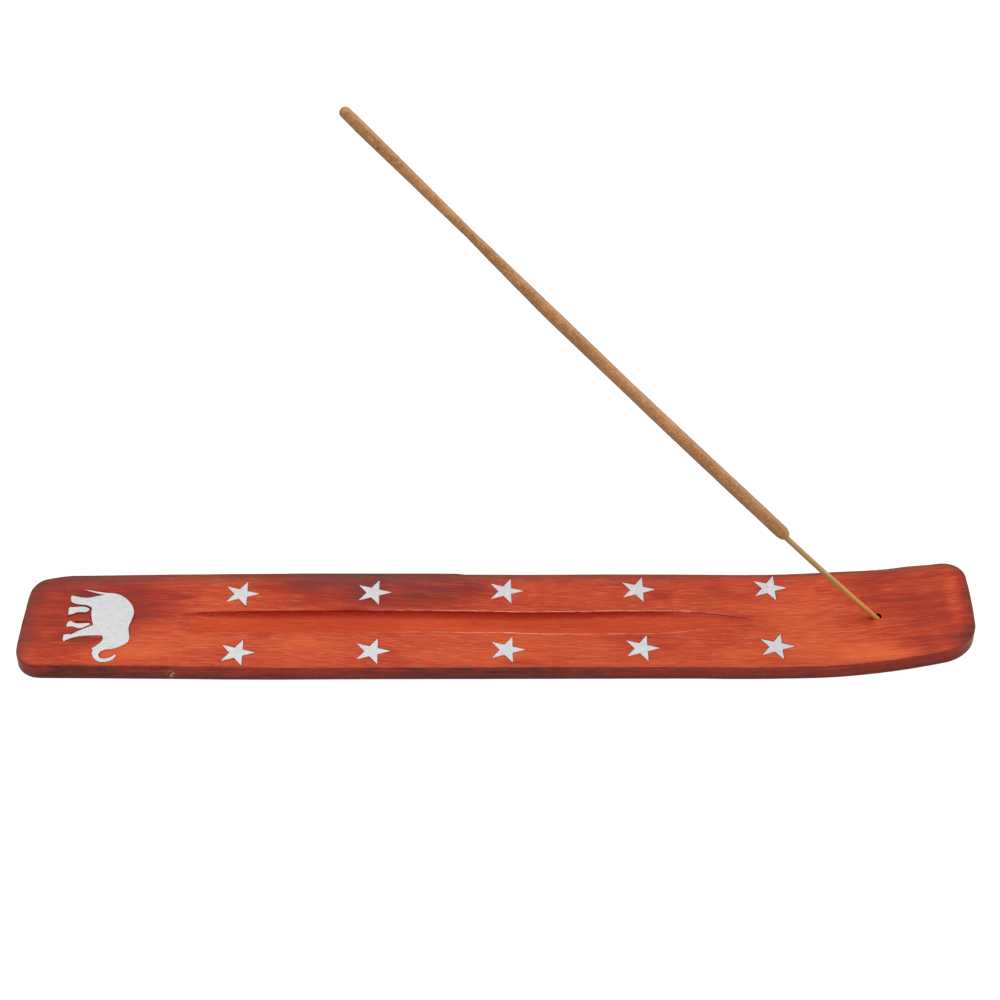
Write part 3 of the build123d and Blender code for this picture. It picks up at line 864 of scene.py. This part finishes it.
def shaped(board):
    """Each vertex's place after sawing, sanding and wear."""
    x, y, z = board.places.T
    grain = board.grain

    # Sanding, eased rims and rubbed lips lower the top
    sanding = SANDING_DEPTH * noisy_share(grain, SANDING_SIZE)
    easing = by_side(board.toward, FAR_EASING, MM * drawn(NEAR_EASING, x), SQUARE_EASING, TIP_EASING)
    reach = by_side(
        board.toward, FAR_EASING_REACH, NEAR_EASING_REACH, SQUARE_EASING_REACH, TIP_EASING_REACH
    )
    uneven = EASING_MEAN + EASING_SWING * noisy(grain, EASING_SIZE, seed=7.0)
    easing = easing * uneven * fade(board.rim, reach)
    rubbing = LIP_DROP * noisy_share(grain, LIP_DROP_SIZE, seed=3.0) * fade(board.lip, LIP_WIDTH)
    lowered = fade(board.depth, UPPER_REACH) * (sanding + easing + rubbing)

    # The groove's end at the tip is cut less deep
    filled = board.groove * board.depth * drawn(GROOVE_FILL, x)

    # The lips wander across the board
    wander = np.where(y > GROOVE_MIDDLE, drawn(FAR_LIP, x), drawn(NEAR_LIP, x)) * MM
    jitter = LIP_JITTER * noisy(grain, LIP_JITTER_SIZE, seed=11.0)
    nicks = LIP_NICK * noisy(grain, LIP_NICK_SIZE, seed=23.0) * fade(board.lip, LIP_WIDTH)
    shift = (wander + jitter) * fade(board.lip, LIP_SPREAD) + nicks

    # The walls are sawn by hand, with faint saw marks
    inset = by_side(board.toward, drawn(FAR_WALL, x), drawn(NEAR_WALL, x), drawn(SQUARE_WALL, y), 0) * MM
    inset = inset + SAW_MARK * noisy_share(grain, SAW_MARK_SIZE, seed=17.0)
    inset = inset * fade(board.rim, WALL_REACH)

    # The inlays sit tight in their seats, and the hole closes on the stick
    level = board.normals[:, :2]
    facing = np.linalg.norm(level, axis=1)
    on_seat = (board.seat < SEAT_TOLERANCE) & (facing > SEAT_FACING)
    closing = SEAT_CLOSING * on_seat / np.maximum(facing, SEAT_FACING)
    along, across = hole_closing(x, y, board.depth)

    moved = np.c_[x + along, y + shift + across, z - lowered + filled]
    moved[:, :2] += level * closing[:, None] - board.toward * inset[:, None]
    return moved


def stain_at(board):
    """How much lighter or darker the stain is at each vertex."""
    x, y = board.places[:, :2].T / MM
    stain = TIP_BAND * fade(board.rim, TIP_BAND_REACH) * by_side(board.toward, 0, 0, 0, 1)
    for patch_x, patch_y, half_length, half_width, amount in STAIN_PATCHES:
        away = np.hypot((x - patch_x) / half_length, (y - patch_y) / half_width)
        away = away + PATCH_RAGGED * noisy(board.grain, PATCH_RAGGED_SIZE, seed=patch_x)
        stain = stain + amount * fade(away, PATCH_FADE)
    return stain


def rim_at(board):
    """How strong the grey-brown rim is at each vertex."""
    x = board.places[:, 0]
    reach = by_side(
        board.toward, MM * drawn(FAR_RIM_LINE, x), NEAR_RIM_REACH, SQUARE_RIM_REACH, TIP_RIM_REACH
    )
    strength = by_side(board.toward, drawn(FAR_RIM, x), NEAR_RIM, SQUARE_RIM, TIP_RIM)
    return strength * np.clip(1 - board.rim / reach, 0, 1) ** RIM_FALL


def wall_at(board):
    """How much each vertex takes the outer walls' colour, which reaches over the worn near edge."""
    leaning = 1 - board.normals[:, 2]
    upright = fade(board.rim, WALL_EDGE) * np.clip((leaning - WALL_LEAN_START) / WALL_LEAN_SPAN, 0, 1)
    over_edge = by_side(board.toward, 0, MM * drawn(NEAR_SOIL, board.places[:, 0]), 0, 0)
    soiled = np.clip(SOIL_START - board.rim / np.maximum(over_edge, WELD), 0, 1)
    return np.maximum(upright, soiled * (over_edge > WELD))


def gully_at(board):
    """How much each vertex takes the colour of the groove's walls, part stain and part painted shade."""
    x, y = board.places[:, :2].T
    leaning = np.clip(1 - board.normals[:, 2], 0, 1)
    bank = drawn(TIP_BANK_PAINTED_SHADE, x) * fade(board.lip, TIP_BANK_REACH) * (y > GROOVE_MIDDLE)
    started = np.clip(board.depth / GULLY_START, 0, 1)
    return board.groove * started * np.maximum(leaning * drawn(GULLY_LINE, x), bank)


def scuff_at(board):
    """How strong the near wall's pale scuff is at each vertex."""
    x, y, z = board.places.T
    away = np.hypot((x - SCUFF_PLACE[0]) / SCUFF_SIZE[0], (z - SCUFF_PLACE[1]) / SCUFF_SIZE[1])
    return fade(away, 1.0) * (board.toward[:, 1] < 0)


def make_board():
    """The board with its rims eased, its lips rubbed and its walls left slightly uneven."""
    cut = sliced("base_board", BOARD_STEPS)
    board = survey(cut)
    for vertex, place in zip(cut.verts, shaped(board)):
        vertex.co = place
    mesh = bpy.data.meshes.new("stained_board")
    cut.to_mesh(mesh)
    cut.free()

    x, y = board.places[:, :2].T
    store(mesh, "grain", board.grain)
    store(mesh, "depth", board.depth)
    store(mesh, "lip", board.lip)
    store(mesh, "seat", board.seat)
    store(mesh, "stain", stain_at(board))
    store(mesh, "rim", rim_at(board))
    # Pale lines on the lips, part wear and part painted highlight
    store(mesh, "wear", np.where(y > GROOVE_MIDDLE, drawn(FAR_LIP_WEAR_AND_HIGHLIGHT, x), drawn(NEAR_LIP_WEAR_AND_HIGHLIGHT, x)))
    store(mesh, "gully", gully_at(board))
    # Painted shade on the groove's walls where the groove is shallow
    store(mesh, "groove_painted_shade", drawn(SHALLOW_GROOVE_PAINTED_SHADE, x))
    store(mesh, "hole", np.hypot(x - HOLE_PLACE[0], y - HOLE_PLACE[1]) < HOLE_REACH)
    store(mesh, "wall", wall_at(board))
    store(mesh, "soil", drawn(WALL_SOIL, x))
    store(mesh, "scuff", scuff_at(board))
    smooth(mesh)
    mesh.materials.append(stained_wood())
    add_piece("stained_board", mesh, "holder", "stained_wood", "base_board")


def make_inlays():
    """The sheet inlays, with their edges broken and the metal's finish."""
    finish = inlay_metal()
    for name, piece in frame["nodes"].items():
        if name.endswith("_inlay") or name.startswith("star_inlay"):
            piece.data.materials.clear()
            piece.data.materials.append(finish)
            weld = piece.modifiers.new("weld", "WELD")
            weld.merge_threshold = WELD
            bevel = piece.modifiers.new("broken_edges", "BEVEL")
            bevel.width = INLAY_EDGE
            bevel.segments = INLAY_EDGE_STEPS
            bevel.limit_method = "ANGLE"
            bevel.angle_limit = INLAY_EDGE_ANGLE


def stick_sections(name, stations):
    """Centre and radius of a CAD node's round section at each station along the stick."""
    mesh = frame["nodes"][name].data
    places = np.array([vertex.co[:] for vertex in mesh.vertices])
    edges = np.array([edge.vertices[:] for edge in mesh.edges])
    along, side, front = (places @ np.array(axis) for axis in (STICK_AXIS, STICK_SIDE, STICK_FRONT))
    first, second = edges.T
    centres = []
    radii = []
    for station in stations:
        crossing = (along[first] - station) * (along[second] - station) <= 0
        crossing &= along[first] != along[second]
        start, end = first[crossing], second[crossing]
        share = (station - along[start]) / (along[end] - along[start])
        sides = side[start] + share * (side[end] - side[start])
        fronts = front[start] + share * (front[end] - front[start])
        centre = STICK_AXIS * station
        centre = centre + STICK_SIDE * float(sides.max() + sides.min()) / 2
        centre = centre + STICK_FRONT * float(fronts.max() + fronts.min()) / 2
        centres.append(centre)
        radii.append((sides.max() - sides.min()) / 2)
    return np.array(centres), np.array(radii)


def node_span(name):
    """Where a CAD node starts and ends along the stick."""
    along = [vertex.co.dot(STICK_AXIS) for vertex in frame["nodes"][name].data.vertices]
    return min(along), max(along)


def turns_round(sides):
    """Angles of the vertices of a ring."""
    return np.linspace(0, 2 * math.pi, sides, endpoint=False)


def ring_grid(centres, radii):
    """Rings of vertices round a line of centres; radii has one row for each ring."""
    turns = turns_round(radii.shape[1])
    around = np.outer(np.cos(turns), STICK_SIDE) + np.outer(np.sin(turns), STICK_FRONT)
    return centres[:, None, :] + radii[:, :, None] * around[None, :, :]


def rod_mesh(name, rings):
    """A closed mesh through rings of vertices, with a flat fan at each end."""
    count, sides = rings.shape[:2]
    vertices = [tuple(place) for place in rings.reshape(-1, 3)]
    vertices += [tuple(rings[0].mean(axis=0)), tuple(rings[-1].mean(axis=0))]
    foot, tip = count * sides, count * sides + 1
    faces = []
    for ring in range(count - 1):
        for side in range(sides):
            after = (side + 1) % sides
            low, high = ring * sides, (ring + 1) * sides
            faces.append((low + side, low + after, high + after, high + side))
    last = (count - 1) * sides
    for side in range(sides):
        after = (side + 1) % sides
        faces.append((foot, after, side))
        faces.append((tip, last + side, last + after))
    mesh = bpy.data.meshes.new(name)
    mesh.from_pydata(vertices, [], faces)
    shape = bmesh.new()
    shape.from_mesh(mesh)
    bmesh.ops.recalc_face_normals(shape, faces=shape.faces)
    shape.to_mesh(mesh)
    shape.free()
    smooth(mesh)
    return mesh


def stick_grain(mesh):
    """Stores each vertex's place in the stick's own directions."""
    places = np.array([vertex.co[:] for vertex in mesh.vertices])
    store(mesh, "grain", np.c_[places @ STICK_AXIS, places @ STICK_SIDE, places @ STICK_FRONT])


def facing_up(mesh):
    """How far each vertex of a rod faces up, from -1 to 1."""
    normals = np.array([vertex.normal[:] for vertex in mesh.vertices])
    return normals @ STICK_FRONT


def make_core():
    """The bamboo rod, shaved to uneven flats with raised fibres."""
    low, high = node_span("bamboo_core")
    bare = np.arange(low + ROD_INSET, node_span("incense_coat")[0] + ROD_OVERLAP, ROD_STEP)
    hidden = np.linspace(bare[-1] + ROD_HIDDEN_START, high - ROD_INSET, ROD_HIDDEN_RINGS)
    stations = np.concatenate([bare, hidden])
    centres, radii = stick_sections("bamboo_core", stations)
    turns = turns_round(ROD_SIDES)
    flats = ROD_FLATS * np.abs(np.sin(ROD_FLAT_PACE * turns + ROD_FLAT_TURN))
    rows = []
    for station, radius in zip(stations, radii):
        around = np.c_[np.cos(turns), np.sin(turns), np.full(ROD_SIDES, station / ROD_GRAIN_LENGTH)]
        fibres = ROD_FIBRE * noisy_share(around, ROD_FIBRE_SIZE)
        waves = ROD_WAVE * noisy_share(around, ROD_WAVE_SIZE, seed=4.0)
        rows.append(radius * (1 - flats - fibres - waves))
    mesh = rod_mesh("bamboo_rod", ring_grid(centres, np.array(rows)))
    stick_grain(mesh)
    places = np.array([vertex.co[:] for vertex in mesh.vertices])
    store(mesh, "foot", fade(places @ STICK_AXIS - low - FOOT_STAIN_START, FOOT_STAIN_REACH))
    store(mesh, "facing", facing_up(mesh))
    mesh.materials.append(bare_bamboo())
    add_piece("bamboo_rod", mesh, "stick", "bamboo", "bamboo_core")


def make_coat():
    """The incense, a sleeve rolled by hand: lumpy along its length and grainy all over."""
    low, high = node_span("incense_coat")
    start, end = low + COAT_END_INSET, high - COAT_END_INSET
    eased = 1 - np.cos(np.linspace(0, math.pi / 2, COAT_END_RINGS))
    stations = np.concatenate([
        start + COAT_SHOULDER * eased[:-1],
        np.arange(start + COAT_SHOULDER, end - COAT_DOME, COAT_STEP),
        (end - COAT_DOME * eased)[::-1],
    ])
    centres, radii = stick_sections("incense_coat", stations)
    even = np.repeat(radii[:, None], COAT_SIDES, axis=1)
    places = ring_grid(centres, even).reshape(-1, 3)
    worn = sum(depth * noisy_share(places, size, seed) for depth, size, seed in COAT_NOISE)
    proud = PASTE_PROUD * (1 - fade(high - stations, PROUD_START))
    worn = worn.reshape(even.shape) - proud[:, None]
    lean = MM * drawn(COAT_LEAN, stations - low)
    centres = centres + lean[:, None] * np.array(STICK_FRONT)

    # The bore is as wide as the rod that it is rolled on, and the paste stays outside it
    bore_stations = np.linspace(node_span("bamboo_core")[1] - BORE_INSET, low + BORE_INSET, BORE_RINGS)
    bore_centres, bore_radii = stick_sections("bamboo_core", bore_stations)
    bore = ring_grid(bore_centres, np.repeat(bore_radii[:, None], COAT_SIDES, axis=1))
    least = np.minimum(bore_radii.max() + 2 * BORE_INSET, BORE_ROOM * radii)
    least = np.where(stations < bore_stations[0], least, TIP_ROOM * radii)
    outside = ring_grid(centres, np.maximum(even - worn, least[:, None]))
    mesh = rod_mesh("incense_roll", np.concatenate([bore, outside]))
    stick_grain(mesh)
    store(mesh, "facing", facing_up(mesh))
    mesh.materials.append(incense_paste())
    add_piece("incense_roll", mesh, "stick", "incense", "incense_coat")


def make_floor():
    """A plain white floor, bright enough of itself that shadows on it stay faint."""
    corners = [(x * FLOOR_HALF, y * FLOOR_HALF, 0) for x, y in ((-1, -1), (1, -1), (1, 1), (-1, 1))]
    mesh = bpy.data.meshes.new("floor")
    mesh.from_pydata(corners, [], [(0, 1, 2, 3)])
    floor = bpy.data.objects.new("floor", mesh)
    bpy.context.scene.collection.objects.link(floor)
    material, _, shader = new_material("floor_paint")
    shader.inputs["Base Color"].default_value = FLOOR_COLOUR
    shader.inputs["Emission Color"].default_value = WHITE
    shader.inputs["Emission Strength"].default_value = FLOOR_GLOW
    shader.inputs["Roughness"].default_value = 0.9
    shader.inputs["Specular IOR Level"].default_value = 0.0
    mesh.materials.append(material)


def make_light():
    """A broad soft light above and behind, aimed at the middle of the board."""
    lamp = bpy.data.lights.new("key", "AREA")
    lamp.shape = "RECTANGLE"
    lamp.size, lamp.size_y = KEY_SIZE
    lamp.energy = KEY_ENERGY
    light = bpy.data.objects.new("key", lamp)
    light.location = KEY_PLACE
    light.rotation_euler = (-Vector(KEY_PLACE)).to_track_quat("-Z", "Y").to_euler()
    bpy.context.scene.collection.objects.link(light)


def make_studio():
    """White floor, a broad light above and behind, and an even grey surround."""
    make_floor()
    make_light()
    world = bpy.data.worlds.new("surround")
    world.use_nodes = True
    background = world.node_tree.nodes["Background"]
    background.inputs["Color"].default_value = WHITE
    background.inputs["Strength"].default_value = SURROUND_STRENGTH
    bpy.context.scene.world = world
    bpy.context.scene.view_settings.view_transform = "Standard"


def make_camera():
    """The camera at the photograph's viewing angle."""
    lens = bpy.data.cameras.new("camera")
    lens.sensor_width = CAMERA_SENSOR
    lens.lens = CAMERA_LENS
    lens.clip_start = CAMERA_CLIP_START
    camera = bpy.data.objects.new("camera", lens)
    camera.location = CAMERA_PLACE
    camera.rotation_euler = (CAMERA_TILT, 0, 0)
    bpy.context.scene.collection.objects.link(camera)
    bpy.context.scene.camera = camera


make_camera()
make_studio()
make_board()
make_inlays()
make_core()
make_coat()
